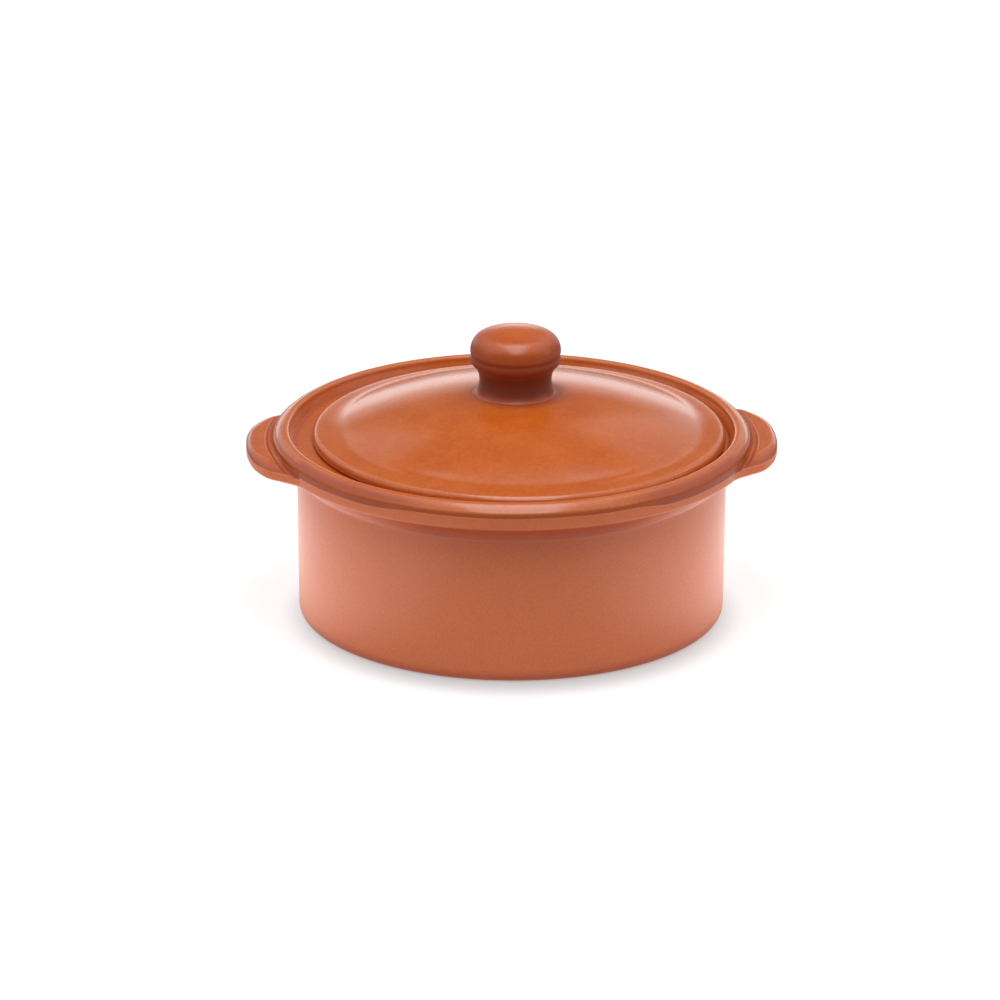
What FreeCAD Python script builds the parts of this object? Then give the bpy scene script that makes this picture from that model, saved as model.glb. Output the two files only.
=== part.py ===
"""Round earthenware casserole with two lug handles and a lift-off domed lid.

Millimetres, +Z up. The origin is the middle of the flat base, on the pot's own axis, and the
lugs lie along X. Five pieces of fired clay: the pot, its two lugs, the lid and the lid's knob.
"""

import FreeCAD, Part
import math
import os

import Sketcher

# Driving sizes in millimetres. A radius is measured from the axis of its piece, a bend is the
# radius of an arc in a section, and what follows another size is given as the step from it.
DRIVING = {
    # The pot: upright wall with a slight draft, on a flat base
    "shoulder_radius": 101.6,
    "wall_draft": 0.6,
    "foot_round": 3.5,
    "wall_thickness": 6.5,
    "floor_thickness": 7.0,
    "inner_round": 14.0,
    "crest_height": 90.8,
    # The rolled rim: crest, upright bare face and the cove under it
    "rim_overhang": 11.4,
    "crest_round": 5.5,
    "crest_lip_round": 2.5,
    "rim_depth": 12.1,
    "rim_edge_round": 1.0,
    "cove_height": 8.2,
    "cove_bend": 16.0,
    # The sunken gallery that carries the lid
    "gallery_depth": 6.4,
    "gallery_draft": 2.4,
    "ledge_lip": 3.6,
    "mouth_round": 1.2,
    "ledge_thickness": 5.0,
    "ledge_run_out": 6.0,
    # The lug handles
    "lug_length": 12.4,
    "lug_root_width": 92.8,
    "lug_taper": 27.2,
    "lug_corner": 16.0,
    "lug_top_drop": 4.6,
    "lug_edge_round": 3.8,
    "lug_bottom_round": 1.2,
    "valley_offset": 2.4,
    "valley_bend": 4.0,
    "valley_depth": 1.8,
    # The lid: flange, crease, low dome and the ring that drops into the mouth
    "lid_play": 4.9,
    "lid_side_gap": 1.5,
    "lid_edge_thickness": 5.4,
    "lid_edge_round": 2.2,
    "lid_seat_round": 1.4,
    "flange_width": 10.9,
    "flange_rise": 0.8,
    "dome_rise": 16.8,
    "dome_bend": 230.0,
    "crown_thickness": 6.0,
    "hollow_spring": 1.5,
    "ring_clearance": 0.6,
    "ring_depth": 4.5,
    "ring_width": 5.0,
    "ring_round": 1.2,
    # The turned knob: foot, neck, lip, groove, head and shoulder
    "knob_shift": 1.8,
    "knob_foot_radius": 18.8,
    "foot_rise": 5.6,
    "foot_bend": 6.0,
    "neck_waist": 1.7,
    "neck_rise": 8.4,
    "neck_flare": 2.5,
    "neck_bend": 11.0,
    "lip_rise": 2.3,
    "lip_swell": 1.7,
    "lip_bend": 2.8,
    "groove_rise": 2.4,
    "groove_depth": 0.6,
    "head_rise": 2.8,
    "head_swell": 0.6,
    "head_bend": 3.6,
    "shoulder_rise": 8.2,
    "shoulder_width": 7.0,
    "shoulder_bend": 8.6,
    "top_rise": 1.6,
}

SHEET = "Sizes"
STEP_FOLDER = "parts"
LEVEL_TOLERANCE = 1e-4


class Size:
    """A length and the sheet expression it comes from, so that each is written once."""

    def __init__(self, value, text):
        self.value = float(value)
        self.text = text

    def __add__(self, other):
        return Size(self.value + other.value, f"({self.text} + {other.text})")

    def __sub__(self, other):
        return Size(self.value - other.value, f"({self.text} - {other.text})")


ZERO = Size(0, "0")
CAP = "cap"


class Sizes:
    """The driving sizes by name, each tied to its cell in the sheet."""

    def __init__(self, doc):
        self.sheet = doc.addObject("Spreadsheet::Sheet", SHEET)
        for row, (name, number) in enumerate(DRIVING.items(), start=1):
            self.sheet.set(f"A{row}", name)
            self.sheet.set(f"B{row}", str(number))
            self.sheet.setAlias(f"B{row}", name)
        doc.recompute()

    def __getattr__(self, name):
        return Size(self.sheet.get(name), f"{SHEET}.{name}")


class Corner:
    """A corner of an outline, and how the line comes to it from the corner before.

    bend is the radius of the arc that arrives here, or CAP where the arc's centre lies on the
    upright axis, as on the top of a dome. turn is +1 where the arc turns left on its way and -1
    where it turns right. With no bend the line is straight.
    """

    def __init__(self, across, up, bend=None, turn=1):
        self.across = across
        self.up = up
        self.bend = bend
        self.turn = turn

    def place(self):
        return FreeCAD.Vector(self.across.value, self.up.value, 0)


def arc_between(start, end, radius, turn):
    """The shorter arc of this radius from start to end, turning left (+1) or right (-1)."""
    chord = end - start
    reach = math.sqrt(max(radius ** 2 - (chord.Length / 2) ** 2, 0.0))
    to_left = FreeCAD.Vector(-chord.y, chord.x, 0).normalize()
    centre = (start + end) * 0.5 + to_left * (reach * turn)
    first = math.atan2(start.y - centre.y, start.x - centre.x)
    last = math.atan2(end.y - centre.y, end.x - centre.x)
    if turn < 0:
        first, last = last, first
    circle = Part.Circle(centre, FreeCAD.Vector(0, 0, 1), radius)
    return Part.ArcOfCircle(circle, first, last)


def cap_radius(start, end):
    """Radius of the arc centred on the upright axis that joins a point to one on the axis."""
    across = max(start.x, end.x)
    rise = abs(end.y - start.y)
    return (across ** 2 + rise ** 2) / (2 * rise)


def tie(sketch, kind, name, size, *where):
    """Add a dimension to the sketch and bind it to the sheet."""
    index = sketch.addConstraint(Sketcher.Constraint(kind, *where, size.value))
    sketch.renameConstraint(index, name)
    sketch.setExpression(f"Constraints.{name}", size.text)


def place_point(sketch, name, geometry, point, corner):
    """Hold one point of the sketch at its corner, by its two distances from the origin."""
    for kind, mark, size, axis in (
        ("DistanceX", "across", corner.across, -2),
        ("DistanceY", "up", corner.up, -1),
    ):
        if size is ZERO:
            sketch.addConstraint(Sketcher.Constraint("PointOnObject", geometry, point, axis))
        else:
            tie(sketch, kind, f"{name}_{mark}", size, -1, 1, geometry, point)


def draw_outline(sketch, name, corners):
    """Draw a closed outline through the corners, fully held by bound dimensions."""
    count = len(corners)
    pieces = []
    for number, corner in enumerate(corners):
        end = corners[(number + 1) % count]
        if end.bend is None:
            line = Part.LineSegment(corner.place(), end.place())
            pieces.append((sketch.addGeometry(line, False), 1, 2))
            continue
        is_cap = end.bend is CAP
        radius = cap_radius(corner.place(), end.place()) if is_cap else end.bend.value
        index = sketch.addGeometry(arc_between(corner.place(), end.place(), radius, end.turn), False)
        pieces.append((index, 1, 2) if end.turn > 0 else (index, 2, 1))
        if is_cap:
            sketch.addConstraint(Sketcher.Constraint("PointOnObject", index, 3, -2))
        else:
            tie(sketch, "Radius", f"{name}_{number}_bend", end.bend, index)
    for number, (geometry, start, end) in enumerate(pieces):
        following, next_start, _ = pieces[(number + 1) % count]
        sketch.addConstraint(Sketcher.Constraint("Coincident", geometry, end, following, next_start))
        place_point(sketch, f"{name}_{number}", geometry, start, corners[number])


def draw_arc_about_axis(sketch, name, radius, width):
    """An arc about the pot's axis, of this width, evenly across the X axis."""
    half_angle = math.asin(width.value / 2 / radius.value)
    circle = Part.Circle(FreeCAD.Vector(0, 0, 0), FreeCAD.Vector(0, 0, 1), radius.value)
    index = sketch.addGeometry(Part.ArcOfCircle(circle, -half_angle, half_angle), False)
    sketch.addConstraint(Sketcher.Constraint("Coincident", index, 3, -1, 1))
    sketch.addConstraint(Sketcher.Constraint("Symmetric", index, 1, index, 2, -1))
    tie(sketch, "Radius", f"{name}_radius", radius, index)
    tie(sketch, "DistanceY", f"{name}_width", width, index, 1, index, 2)
    return index


def draw_lug_plan(sketch, s):
    """The lug from above: an arc on the rim's face, an arc at the tip and two straight flanks."""
    root = draw_arc_about_axis(sketch, "root", rim_radius(s), s.lug_root_width)
    tip = draw_arc_about_axis(sketch, "tip", lug_reach(s), s.lug_root_width - s.lug_taper)
    for point in (1, 2):
        ends = [
            FreeCAD.Vector(sketch.getPoint(root, point)),
            FreeCAD.Vector(sketch.getPoint(tip, point)),
        ]
        flank = sketch.addGeometry(Part.LineSegment(*ends), False)
        sketch.addConstraint(Sketcher.Constraint("Coincident", flank, 1, root, point))
        sketch.addConstraint(Sketcher.Constraint("Coincident", flank, 2, tip, point))


def new_body(doc, label, place_x=ZERO, place_z=ZERO, quarter_turns=0):
    """An empty body for one piece, whose label names its file, at its place on the pot."""
    body = doc.addObject("PartDesign::Body", label)
    body.Label = label
    turn = FreeCAD.Rotation(FreeCAD.Vector(0, 0, 1), 90 * quarter_turns)
    body.Placement = FreeCAD.Placement(FreeCAD.Vector(0, 0, 0), turn)
    for axis, size in (("x", place_x), ("z", place_z)):
        if size is not ZERO:
            body.setExpression(f"Placement.Base.{axis}", size.text)
    return body


def new_sketch(body, name, role):
    """A sketch on one of the body's own origin planes."""
    sketch = body.newObject("Sketcher::SketchObject", name)
    plane = next(part for part in body.Origin.OriginFeatures if part.Role == role)
    sketch.AttachmentSupport = [(plane, "")]
    sketch.MapMode = "FlatFace"
    return sketch


def turn_section(body, name, kind, sketch):
    """Turn a section all the way about the upright axis, to add clay or to cut it away."""
    feature = body.newObject(kind, name)
    feature.Profile = sketch
    feature.ReferenceAxis = (sketch, ["V_Axis"])
    feature.Angle = 360
    return feature


def round_edges(body, name, base, test, radius):
    """Round the edges of the feature before it that pass the test."""
    body.Document.recompute()
    edges = [f"Edge{n}" for n, edge in enumerate(base.Shape.Edges, start=1) if test(edge)]
    feature = body.newObject("PartDesign::Fillet", name)
    feature.Base = (base, edges)
    feature.setExpression("Radius", radius.text)
    return feature


def edge_middle(edge):
    """The point halfway along an edge."""
    return edge.valueAt((edge.FirstParameter + edge.LastParameter) / 2)


def rim_radius(s):
    """Radius of the rim's upright face, which the lugs are luted to."""
    return s.shoulder_radius + s.rim_overhang


def crest_radius(s):
    """Radius of the top of the crest."""
    return rim_radius(s) - s.crest_round


def inside_radius(s):
    """Radius of the inside of the wall."""
    return s.shoulder_radius - s.wall_thickness


def mouth_radius(s):
    """Radius of the mouth, inside the lip of the ledge."""
    return inside_radius(s) - s.ledge_lip


def gallery_radius(s):
    """Radius of the gallery where its wall meets the ledge."""
    return crest_radius(s) - s.crest_lip_round - s.gallery_draft


def gallery_level(s):
    """Height of the ledge that the lid sits on."""
    return s.crest_height - s.gallery_depth


def rim_underside(s):
    """Height of the lower edge of the rim's upright face, and of the lugs."""
    return s.crest_height - s.rim_depth


def lug_reach(s):
    """Distance of the lug's tip from the pot's axis."""
    return rim_radius(s) + s.lug_length


def lid_shift(s):
    """How far the lid lies towards +X in its gallery, which leaves the side gap there."""
    return s.lid_play - s.lid_side_gap


def crown_height(s):
    """Height of the lid's flat crown over the ledge that the lid sits on."""
    return s.lid_edge_thickness + s.flange_rise + s.dome_rise


def build_pot(doc, s):
    """The pot: one turned section with floor, wall, cove, rim, crest and gallery."""
    body = new_body(doc, "pot_body")
    rim = rim_radius(s)
    crest = crest_radius(s)
    inside = inside_radius(s)
    mouth = mouth_radius(s)
    foot = s.shoulder_radius - s.wall_draft
    underside = rim_underside(s)
    ledge = gallery_level(s)
    ledge_underside = ledge - s.ledge_thickness
    sketch = new_sketch(body, "pot_section", "XZ_Plane")
    draw_outline(sketch, "pot", [
        Corner(ZERO, ZERO),
        Corner(foot - s.foot_round, ZERO),
        Corner(foot, s.foot_round, s.foot_round, 1),
        Corner(s.shoulder_radius, underside - s.cove_height),
        Corner(rim - s.rim_edge_round, underside, s.cove_bend, -1),
        Corner(rim, underside + s.rim_edge_round, s.rim_edge_round, 1),
        Corner(rim, s.crest_height - s.crest_round),
        Corner(crest, s.crest_height, s.crest_round, 1),
        Corner(crest - s.crest_lip_round, s.crest_height - s.crest_lip_round, s.crest_lip_round, 1),
        Corner(gallery_radius(s), ledge),
        Corner(mouth + s.mouth_round, ledge),
        Corner(mouth, ledge - s.mouth_round, s.mouth_round, 1),
        Corner(mouth, ledge_underside),
        Corner(inside, ledge_underside - s.ledge_run_out),
        Corner(inside, s.floor_thickness + s.inner_round),
        Corner(inside - s.inner_round, s.floor_thickness, s.inner_round, -1),
        Corner(ZERO, s.floor_thickness),
    ])
    turn_section(body, "pot_turned", "PartDesign::Revolution", sketch)
    return body


def build_lug(doc, s, label, quarter_turns):
    """A lug: a tongue of clay luted to the rim's upright face, with a finger-pressed valley."""
    body = new_body(doc, label, quarter_turns=quarter_turns)
    rim = rim_radius(s)
    top = s.crest_height - s.lug_top_drop
    plan = new_sketch(body, f"{label}_plan", "XY_Plane")
    plan.setExpression("AttachmentOffset.Base.z", rim_underside(s).text)
    draw_lug_plan(plan, s)
    slab = body.newObject("PartDesign::Pad", f"{label}_slab")
    slab.Profile = plan
    slab.setExpression("Length", (s.rim_depth - s.lug_top_drop).text)

    def is_tip_corner(edge):
        middle = edge_middle(edge)
        upright = edge.BoundBox.XLength + edge.BoundBox.YLength < LEVEL_TOLERANCE
        return upright and math.hypot(middle.x, middle.y) > rim.value + s.lug_length.value / 2

    def is_free_edge_at(height):
        def test(edge):
            box = edge.BoundBox
            level = box.ZLength < LEVEL_TOLERANCE and abs(box.ZMin - height) < LEVEL_TOLERANCE
            middle = edge_middle(edge)
            return level and math.hypot(middle.x, middle.y) > rim.value + LEVEL_TOLERANCE
        return test

    corners = round_edges(body, f"{label}_corners", slab, is_tip_corner, s.lug_corner)
    upper = round_edges(body, f"{label}_top_edge", corners, is_free_edge_at(top.value), s.lug_edge_round)
    round_edges(body, f"{label}_bottom_edge", upper, is_free_edge_at(rim_underside(s).value),
                s.lug_bottom_round)

    press = new_sketch(body, f"{label}_valley_section", "XZ_Plane")
    centre = Corner(rim + s.valley_offset, top - s.valley_depth + s.valley_bend)
    finger = Part.Circle(centre.place(), FreeCAD.Vector(0, 0, 1), s.valley_bend.value)
    index = press.addGeometry(finger, False)
    tie(press, "Radius", "valley_bend", s.valley_bend, index)
    place_point(press, "valley", index, 3, centre)
    turn_section(body, f"{label}_valley", "PartDesign::Groove", press)
    return body


def build_lid(doc, s):
    """The lid: one turned section with locating ring, flange, crease, dome and crown."""
    body = new_body(doc, "lid", place_x=lid_shift(s), place_z=gallery_level(s))
    edge = gallery_radius(s) - s.lid_play
    crown = crown_height(s)
    ring = mouth_radius(s) - lid_shift(s) - s.ring_clearance
    ring_inside = ring - s.ring_width
    ring_foot = ZERO - s.ring_depth
    sketch = new_sketch(body, "lid_section", "XZ_Plane")
    draw_outline(sketch, "lid", [
        Corner(ZERO, crown - s.crown_thickness),
        Corner(ring_inside, s.hollow_spring, CAP, -1),
        Corner(ring_inside, ring_foot + s.ring_round),
        Corner(ring_inside + s.ring_round, ring_foot, s.ring_round, 1),
        Corner(ring - s.ring_round, ring_foot),
        Corner(ring, ring_foot + s.ring_round, s.ring_round, 1),
        Corner(ring, ZERO),
        Corner(edge - s.lid_seat_round, ZERO),
        Corner(edge, s.lid_seat_round, s.lid_seat_round, 1),
        Corner(edge, s.lid_edge_thickness - s.lid_edge_round),
        Corner(edge - s.lid_edge_round, s.lid_edge_thickness, s.lid_edge_round, 1),
        Corner(edge - s.flange_width, s.lid_edge_thickness + s.flange_rise),
        Corner(s.knob_foot_radius + s.knob_shift, crown, s.dome_bend, 1),
        Corner(ZERO, crown),
    ])
    turn_section(body, "lid_turned", "PartDesign::Revolution", sketch)
    return body


def build_knob(doc, s):
    """The knob: a turned section that stands on the lid's flat crown."""
    body = new_body(doc, "lid_knob", place_x=lid_shift(s) - s.knob_shift,
                    place_z=gallery_level(s) + crown_height(s))
    neck, neck_height = s.knob_foot_radius - s.neck_waist, s.foot_rise
    flare, flare_height = neck + s.neck_flare, neck_height + s.neck_rise
    lip, lip_height = flare + s.lip_swell, flare_height + s.lip_rise
    groove, groove_height = lip - s.groove_depth, lip_height + s.groove_rise
    head, head_height = groove + s.head_swell, groove_height + s.head_rise
    top, top_height = head - s.shoulder_width, head_height + s.shoulder_rise
    sketch = new_sketch(body, "knob_section", "XZ_Plane")
    draw_outline(sketch, "knob", [
        Corner(ZERO, ZERO),
        Corner(s.knob_foot_radius, ZERO),
        Corner(neck, neck_height, s.foot_bend, -1),
        Corner(flare, flare_height, s.neck_bend, -1),
        Corner(lip, lip_height, s.lip_bend, 1),
        Corner(groove, groove_height, s.lip_bend, 1),
        Corner(head, head_height, s.head_bend, 1),
        Corner(top, top_height, s.shoulder_bend, 1),
        Corner(ZERO, top_height + s.top_rise, CAP, 1),
    ])
    turn_section(body, "knob_turned", "PartDesign::Revolution", sketch)
    return body


def check_document(doc, bodies):
    """Stop with a plain message if any object failed or any piece isn't one sound solid."""
    for item in doc.Objects:
        if "Invalid" in item.State or "Error" in item.State:
            raise RuntimeError(f"{item.Label} didn't build: {item.State}")
        if item.TypeId == "Sketcher::SketchObject" and not item.FullyConstrained:
            raise RuntimeError(f"{item.Label} isn't fully constrained")
    for body in bodies:
        shape = body.Shape
        if shape.isNull() or not shape.isValid() or len(shape.Solids) != 1:
            raise RuntimeError(f"{body.Label} isn't one valid solid")


def main():
    doc = FreeCAD.newDocument("casserole")
    sizes = Sizes(doc)
    bodies = [
        build_pot(doc, sizes),
        build_lug(doc, sizes, "right_handle", quarter_turns=0),
        build_lug(doc, sizes, "left_handle", quarter_turns=2),
        build_lid(doc, sizes),
        build_knob(doc, sizes),
    ]
    doc.recompute()
    check_document(doc, bodies)
    os.makedirs(STEP_FOLDER, exist_ok=True)
    for body in bodies:
        body.Shape.exportStep(f"{STEP_FOLDER}/{body.Label}.step")
        box = body.Shape.BoundBox
        print(f"{body.Label}: {body.Shape.Volume / 1000:.1f} cm3, "
              f"X {box.XMin:.1f} to {box.XMax:.1f}, Y {box.YMin:.1f} to {box.YMax:.1f}, "
              f"Z {box.ZMin:.1f} to {box.ZMax:.1f}")


main()
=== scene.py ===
"""Round earthenware casserole with two lug handles and a lift-off domed lid.

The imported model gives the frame. Every piece here is a surface worked out on a grid in
millimetres and put into its mesh in metres: turned sections for the pot, the lid and the knob,
and a solved height field for the pressed lugs. The clay is red earthenware, bare outside and
under a clear honey glaze on the rim, the lugs, the inside, the lid and the knob.
"""

from __future__ import annotations

import logging
import math
from dataclasses import dataclass, field
from enum import Enum

import bpy
import numpy as np
from mathutils import Matrix, Vector


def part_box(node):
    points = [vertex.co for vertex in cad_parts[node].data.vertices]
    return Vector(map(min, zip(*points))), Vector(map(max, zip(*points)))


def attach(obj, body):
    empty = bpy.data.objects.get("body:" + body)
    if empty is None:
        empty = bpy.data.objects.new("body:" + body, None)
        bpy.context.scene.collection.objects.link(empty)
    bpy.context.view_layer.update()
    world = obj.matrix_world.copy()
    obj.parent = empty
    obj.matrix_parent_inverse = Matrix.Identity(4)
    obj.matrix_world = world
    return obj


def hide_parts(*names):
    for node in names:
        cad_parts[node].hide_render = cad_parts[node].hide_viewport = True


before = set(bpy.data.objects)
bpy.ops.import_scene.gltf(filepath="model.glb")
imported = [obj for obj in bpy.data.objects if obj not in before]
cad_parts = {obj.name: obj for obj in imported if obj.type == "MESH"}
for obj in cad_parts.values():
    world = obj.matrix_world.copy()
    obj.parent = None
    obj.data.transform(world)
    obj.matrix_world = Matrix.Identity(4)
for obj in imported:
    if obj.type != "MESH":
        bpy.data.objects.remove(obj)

log = logging.getLogger("casserole")
MM = 0.001
TAU = 2.0 * math.pi
QUARTER = math.pi / 2.0
WHITE = "#FFFFFF"
# Distance between the points of a finely drawn section, in millimetres
FINE_STEP = 0.1
# How much glaze has run together, with painted shade added on some pieces:
# least over edges, 1 where it is brown, 2 where deep brown
THINNEST = -0.8
DEEPEST = 2.0
# A distance inside the glaze's edge that is well away from it, in millimetres
WELL_GLAZED = 10.0
# A bell curve is cut off at this many standard deviations
BELL_END = 4.0


class Side(Enum):
    """Which end of the pot a lug is on, by the turn that takes +X there."""

    RIGHT = 0.0
    LEFT = math.pi


class Arc(Enum):
    """An arc of a section whose centre lies on the axis, as on the top of a dome."""

    CAP = "cap"


@dataclass(frozen=True)
class Corner:
    """A corner of a section, and how the line comes to it from the corner before.

    bend is the arriving arc's radius, Arc.CAP for one centred on the axis, or None for a
    straight line. turn is +1 where the arc turns left on its way and -1 where it turns right.
    """

    across: float
    up: float
    bend: float | Arc | None = None
    turn: int = 1


def box_mm(node: str) -> tuple[np.ndarray, np.ndarray]:
    """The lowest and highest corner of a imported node, in millimetres."""
    low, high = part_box(node)
    return np.array(low) / MM, np.array(high) / MM


def smooth(low: float, high: float, x: np.ndarray) -> np.ndarray:
    """Rise from 0 to 1 between two values, level at both ends: 3t squared less 2t cubed."""
    t = np.clip((x - low) / (high - low), 0.0, 1.0)
    return t * t * (3.0 - 2.0 * t)


def soft_min(a: np.ndarray, b: np.ndarray, reach: float) -> np.ndarray:
    """The lesser of two fields, rounded by a parabola where they are within reach of each other."""
    h = np.clip(0.5 + 0.5 * (b - a) / reach, 0.0, 1.0)
    return b + (a - b) * h - reach * h * (1.0 - h)


def arc_centre(start: np.ndarray, end: np.ndarray, radius: float, turn: int) -> np.ndarray:
    """Centre of an arc between two points of a section.

    It lies on the chord's bisector. Its distance from the chord is the root of the square of
    the radius less the square of half the chord.

    Args:
        start: where the arc starts.
        end: where it ends.
        radius: its radius, in millimetres.
        turn: +1 for an arc that turns left on its way, -1 for one that turns right.

    Returns:
        The centre.
    """
    chord = end - start
    length = float(np.hypot(*chord))
    to_left = np.array([-chord[1], chord[0]]) / length
    reach = math.sqrt(max(radius ** 2 - (length / 2.0) ** 2, 0.0))
    return (start + end) / 2.0 + to_left * reach * turn


def trace_section(corners: list[Corner]) -> np.ndarray:
    """Draw a section as a fine line of points.

    A straight stretch runs evenly between its corners. An arc turns evenly about its centre,
    by twice the angle whose sine is half the chord over the radius.

    Args:
        corners: the corners in order, with the clay on the left of the way.

    Returns:
        Points, one row each, as distance from the axis and height.
    """
    pieces = []
    for before, corner in zip(corners[:-1], corners[1:]):
        start = np.array([before.across, before.up])
        end = np.array([corner.across, corner.up])
        chord = end - start
        length = float(np.hypot(*chord))
        count = max(2, int(math.ceil(length / FINE_STEP)) + 1)
        t = np.linspace(0.0, 1.0, count)[:, None]
        if corner.bend is None:
            pieces.append((start + t * chord)[:-1])
            continue
        radius = corner.bend
        if radius is Arc.CAP:
            rise = abs(chord[1])
            radius = (max(start[0], end[0]) ** 2 + rise ** 2) / (2.0 * rise)
        centre = arc_centre(start, end, radius, corner.turn)
        first = math.atan2(*(start - centre)[::-1])
        sweep = 2.0 * math.asin(min(1.0, length / 2.0 / radius)) * corner.turn
        angle = first + t * sweep
        arc = centre + radius * np.hstack([np.cos(angle), np.sin(angle)])
        pieces.append(arc[:-1])
    pieces.append(np.array([[corners[-1].across, corners[-1].up]]))
    return np.vstack(pieces)


def even_out(line: np.ndarray) -> np.ndarray:
    """Points along a line at an even distance, by its length so far.

    Args:
        line: points, one row each.

    Returns:
        Points of the same line, a fine step apart.
    """
    lengths = np.concatenate([[0.0], np.cumsum(np.hypot(*np.diff(line, axis=0).T))])
    at = np.linspace(0.0, lengths[-1], int(lengths[-1] / FINE_STEP) + 1)
    return np.column_stack([np.interp(at, lengths, line[:, k]) for k in (0, 1)])


def soften(line: np.ndarray, reach: float) -> np.ndarray:
    """Round a section's corners as glaze and a wet sponge do.

    Each point becomes the mean of its neighbours, weighted by a bell curve of this reach. Past
    an end on the axis, the line goes on as its own mirror image, so the pole stays level.

    Args:
        line: an evenly spaced section that starts and ends on the axis.
        reach: the bell curve's standard deviation, in millimetres.

    Returns:
        The softened section, with as many points.
    """
    half = int(math.ceil(BELL_END * reach / FINE_STEP))
    bell = np.exp(-0.5 * (np.arange(-half, half + 1) * FINE_STEP / reach) ** 2)
    bell /= bell.sum()
    mirror = np.array([-1.0, 1.0])
    longer = np.vstack([line[half:0:-1] * mirror, line, line[-2:-half - 2:-1] * mirror])
    done = np.column_stack([np.convolve(longer[:, k], bell, mode="valid") for k in (0, 1)])
    done[[0, -1], 0] = 0.0
    return done


def turning(line: np.ndarray) -> np.ndarray:
    """How sharply a fine section turns at each point, in radians per millimetre, left positive."""
    way = np.unwrap(np.arctan2(np.gradient(line[:, 1]), np.gradient(line[:, 0])))
    return np.gradient(way) / FINE_STEP


def choose_rows(line: np.ndarray, longest: float, sharpest: float) -> np.ndarray:
    """Pick the points of a fine section that become rows of the grid.

    A row's share of the line is one over the longest step, plus the line's turning over the
    sharpest angle, so straight stretches get few rows and small rounds get many.

    Args:
        line: the fine, evenly spaced section.
        longest: the longest step between rows, in millimetres.
        sharpest: the largest turn between rows, in radians.

    Returns:
        Places along the line, as fractions of a point's number.
    """
    share = FINE_STEP * (1.0 / longest + np.abs(turning(line)) / sharpest)
    total = np.concatenate([[0.0], np.cumsum((share[1:] + share[:-1]) / 2.0)])
    at = np.linspace(0.0, total[-1], int(math.ceil(total[-1])) + 1)
    return np.interp(at, total, np.arange(len(line)))


def linear(code: str) -> tuple[float, float, float, float]:
    """Linear colour of an sRGB hex code.

    Args:
        code: the colour, as a hash sign and six hex digits.

    Returns:
        Red, green and blue from 0 to 1, and a solid alpha.
    """
    parts = [int(code[k:k + 2], 16) / 255.0 for k in (1, 3, 5)]
    done = [c / 12.92 if c <= 0.04045 else ((c + 0.055) / 1.055) ** 2.4 for c in parts]
    return (*done, 1.0)


def bearing(azimuth: float, elevation: float) -> Vector:
    """Direction from the pot to a light or the camera, by its angles in degrees."""
    a, e = math.radians(azimuth), math.radians(elevation)
    return Vector((math.sin(a) * math.cos(e), -math.cos(a) * math.cos(e), math.sin(e)))


def add(tree: bpy.types.NodeTree, kind: str, links: dict[str | int, object] | None = None,
        **settings: object) -> bpy.types.Node:
    """Add a node with its settings, and fill its inputs.

    Args:
        tree: the node tree.
        kind: the node's type.
        links: values or sockets by the input's name or number.
        **settings: the node's own properties.

    Returns:
        The node.
    """
    node = tree.nodes.new(kind)
    for name, value in settings.items():
        setattr(node, name, value)
    for key, value in (links or {}).items():
        if isinstance(value, bpy.types.NodeSocket):
            tree.links.new(value, node.inputs[key])
        else:
            node.inputs[key].default_value = value
    return node


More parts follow.
